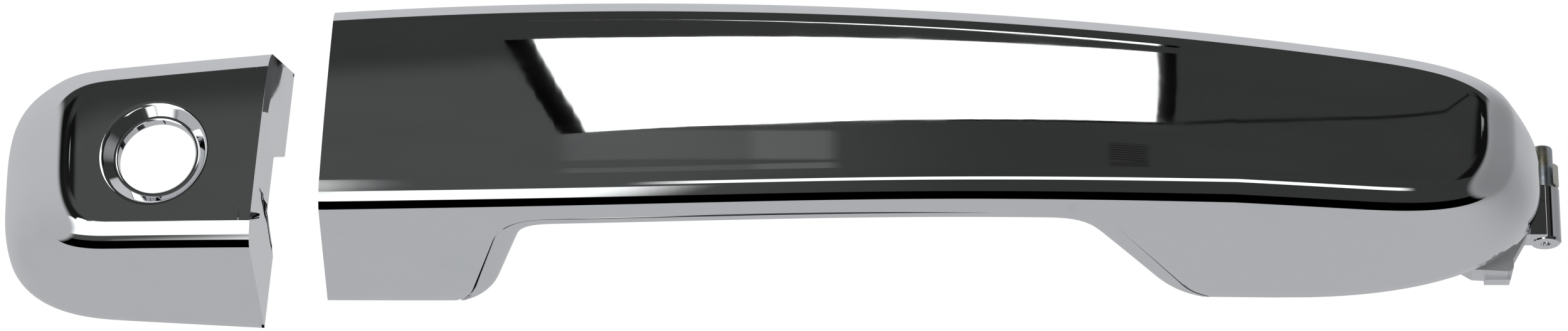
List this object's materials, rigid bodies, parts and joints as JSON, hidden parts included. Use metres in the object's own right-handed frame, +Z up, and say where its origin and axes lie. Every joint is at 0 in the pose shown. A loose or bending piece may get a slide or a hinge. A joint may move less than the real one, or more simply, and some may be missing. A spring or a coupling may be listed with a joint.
{
  "type": "car door handle",
  "caption": "Pull-type outside door handle with a bowed strap grip, a separate key-lock cap, and a frame with pivot and sprung bell crank.",
  "frame": {"origin": "centre of the frame's middle seat, on the face that lies against the inner side of the door skin", "axes": "+X along the handle towards the front of the car, +Y into the door, +Z up"},
  "size_m": [0.2697, 0.0794, 0.071],
  "materials": {
    "chrome_plate": "bright decorative chrome, mirror polished",
    "black_nylon": "glass-filled black nylon, as moulded",
    "black_rubber": "soft black rubber",
    "plated_steel": "zinc plated",
    "spring_steel": "oiled spring steel",
    "natural_acetal": "natural acetal, satin",
    "cast_zinc": "die-cast zinc, as cast"
  },
  "bodies": {
    "door_frame": {"frame": "black_nylon", "rear_pad": "black_rubber", "front_pad": "black_rubber", "pivot_clip": "natural_acetal", "rear_mount_screw": "plated_steel", "front_mount_screw": "plated_steel", "lever_pin": "plated_steel", "lever_pin_clip": "spring_steel", "return_spring": "spring_steel", "stop_buffer_rear": "black_rubber", "stop_buffer_front": "black_rubber"},
    "grip": {"grip_outer_shell": "chrome_plate", "grip_back_shell": "chrome_plate", "grip_stiffener": "black_nylon", "pull_arm": "black_nylon", "hinge_arm": "chrome_plate", "hinge_pin": "plated_steel", "grip_screw_rear_upper": "plated_steel", "grip_screw_rear_lower": "plated_steel", "grip_screw_front_upper": "plated_steel", "grip_screw_front_lower": "plated_steel"},
    "lever": {"bell_crank": "black_nylon", "counterweight": "cast_zinc", "lever_shoe": "natural_acetal", "rod_bush": "natural_acetal"},
    "cap": {"lock_cap": "chrome_plate", "cap_carrier": "black_nylon", "cap_pad": "black_rubber", "cap_latch_spring": "spring_steel", "cap_screw": "plated_steel"}
  },
  "joints": [
    {"name": "grip_swing", "type": "hinge", "parent": "door_frame", "child": "grip", "pos_m": [0.1326, 0.006, -0.002], "axis": [0, 0, 1], "range_deg": [0, 7.35]},
    {"name": "lever_swing", "type": "hinge", "parent": "door_frame", "child": "lever", "pos_m": [-0.067, 0.01566, 0.02488], "axis": [-1, 0, 0], "range_deg": [0, 54.7], "stiffness_Nm_per_rad": 0.06, "springref_deg": -34.38},
    {"name": "cap_slide", "type": "slide", "parent": "door_frame", "child": "cap", "axis": [0.7668, 0, 0.6418], "range_m": [0, 0.012]}
  ],
  "couplings": [
    {"joint": "lever_swing", "follows": "grip_swing", "ratio": 7.42}
  ]
}
